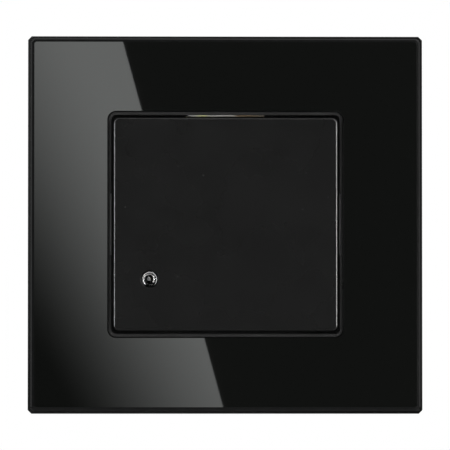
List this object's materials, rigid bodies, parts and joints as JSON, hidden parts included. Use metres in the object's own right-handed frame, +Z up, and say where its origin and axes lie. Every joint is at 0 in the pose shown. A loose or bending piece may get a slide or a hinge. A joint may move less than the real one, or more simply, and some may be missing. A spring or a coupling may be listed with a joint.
{
  "type": "motion sensor switch",
  "caption": "Flush wall switch with a black glass plate, a plain cover with a small light sensor, and a microwave motion sensor module with relay and screw terminals.",
  "frame": {"origin": "centre of the wall plane, where the strap's turned rim rests", "axes": "+Y into the wall, +Z up, +X to the right of someone who looks at the switch"},
  "size_m": [0.086, 0.0363, 0.0822],
  "materials": {
    "back_painted_glass": "polished black glass, painted behind",
    "foam_tape": "matt black foam tape",
    "black_moulding": "black moulded ABS",
    "grey_moulding": "dark grey moulded polycarbonate",
    "terminal_moulding": "black polyamide",
    "yellow_zinc_steel": "yellow passivated zinc plate",
    "zinc_screws": "bright zinc plate",
    "tinned_leads": "tin plate",
    "board_laminate": "green solder mask on glass-fibre laminate",
    "clear_epoxy": "water-clear epoxy",
    "black_component": "black epoxy and thermoplastic",
    "blue_component": "blue thermoplastic",
    "white_component": "off-white thermoplastic",
    "brass": "bright brass",
    "copper_winding": "enamelled copper wire",
    "soft_iron": "plain soft iron",
    "ferrite": "dark grey sintered ferrite",
    "winding_tape": "yellow polyester tape",
    "can_sleeve": "dark sleeve on aluminium cans",
    "yellow_box": "yellow film capacitor box"
  },
  "bodies": {
    "switch_base": {"mounting_strap": "yellow_zinc_steel", "cover_spring": "yellow_zinc_steel", "module_front": "black_moulding", "module_housing": "grey_moulding", "sensor_board": "board_laminate", "main_board": "board_laminate", "sensor_board_screws": "zinc_screws", "main_board_screws": "zinc_screws", "photo_sensor": "clear_epoxy", "photo_sensor_leads": "tinned_leads", "sensor_spacer": "black_moulding", "trimmer_bodies": "blue_component", "aerial_board": "board_laminate", "aerial_parts": "black_component", "aerial_header": "black_component", "board_link": "tinned_leads", "busbars": "brass", "relay_base": "black_component", "relay_case": "blue_component", "relay_coil": "copper_winding", "relay_yoke": "soft_iron", "relay_contact": "brass", "transformer_core": "ferrite", "transformer_winding": "winding_tape", "transformer_feet": "white_component", "filter_capacitors": "can_sleeve", "suppressor_capacitor": "yellow_box", "fuse": "black_component", "varistor": "blue_component", "choke": "black_component", "terminal_pole_live": "terminal_moulding", "terminal_pole_neutral": "terminal_moulding", "terminal_pole_load": "terminal_moulding"},
    "decor_frame": {"glass_panel": "back_painted_glass", "glass_adhesive": "foam_tape", "frame_carrier": "black_moulding"},
    "cover": {"cover_plate": "black_moulding"},
    "delay_trimmer": {"trimmer_rotor_delay": "white_component"},
    "light_trimmer": {"trimmer_rotor_light": "white_component"},
    "range_trimmer": {"trimmer_rotor_range": "white_component"},
    "live_screw": {"terminal_screw_live": "zinc_screws"},
    "live_cage": {"terminal_cage_live": "brass"},
    "neutral_screw": {"terminal_screw_neutral": "zinc_screws"},
    "neutral_cage": {"terminal_cage_neutral": "brass"},
    "load_screw": {"terminal_screw_load": "zinc_screws"},
    "load_cage": {"terminal_cage_load": "brass"},
    "relay_armature": {"relay_armature": "soft_iron"}
  },
  "joints": [
    {"name": "frame_pull", "type": "slide", "parent": "switch_base", "child": "decor_frame", "axis": [0, -1, 0], "range_m": [0, 0.018]},
    {"name": "cover_pull", "type": "slide", "parent": "switch_base", "child": "cover", "axis": [0, -1, 0], "range_m": [0, 0.014]},
    {"name": "delay_turn", "type": "hinge", "parent": "switch_base", "child": "delay_trimmer", "pos_m": [0.0162, -0.006, 0.008], "axis": [0, 1, 0], "range_deg": [-135, 135]},
    {"name": "light_turn", "type": "hinge", "parent": "switch_base", "child": "light_trimmer", "pos_m": [0.0162, -0.006, -0.001], "axis": [0, 1, 0], "range_deg": [-135, 135]},
    {"name": "range_turn", "type": "hinge", "parent": "switch_base", "child": "range_trimmer", "pos_m": [0.0162, -0.006, -0.01], "axis": [0, 1, 0], "range_deg": [-135, 135]},
    {"name": "live_screw_turn", "type": "hinge", "parent": "switch_base", "child": "live_screw", "pos_m": [-0.009, 0.02205, -0.0176], "axis": [0, -1, 0], "range_deg": [0, 1810]},
    {"name": "live_cage_rise", "type": "slide", "parent": "switch_base", "child": "live_cage", "axis": [0, 1, 0], "range_m": [0, 0.0025]},
    {"name": "neutral_screw_turn", "type": "hinge", "parent": "switch_base", "child": "neutral_screw", "pos_m": [0, 0.02205, -0.0176], "axis": [0, -1, 0], "range_deg": [0, 1810]},
    {"name": "neutral_cage_rise", "type": "slide", "parent": "switch_base", "child": "neutral_cage", "axis": [0, 1, 0], "range_m": [0, 0.0025]},
    {"name": "load_screw_turn", "type": "hinge", "parent": "switch_base", "child": "load_screw", "pos_m": [0.009, 0.02205, -0.0176], "axis": [0, -1, 0], "range_deg": [0, 1810]},
    {"name": "load_cage_rise", "type": "slide", "parent": "switch_base", "child": "load_cage", "axis": [0, 1, 0], "range_m": [0, 0.0025]},
    {"name": "armature_pull_in", "type": "hinge", "parent": "switch_base", "child": "relay_armature", "pos_m": [-0.0029, 0.012, 0.0157], "axis": [0, 0, 1], "range_deg": [0, 3.2], "stiffness_Nm_per_rad": 0.05, "springref_deg": -2.86}
  ],
  "couplings": [
    {"joint": "live_screw_turn", "follows": "live_cage_rise", "rad_per_m": 12566},
    {"joint": "neutral_screw_turn", "follows": "neutral_cage_rise", "rad_per_m": 12566},
    {"joint": "load_screw_turn", "follows": "load_cage_rise", "rad_per_m": 12566}
  ]
}
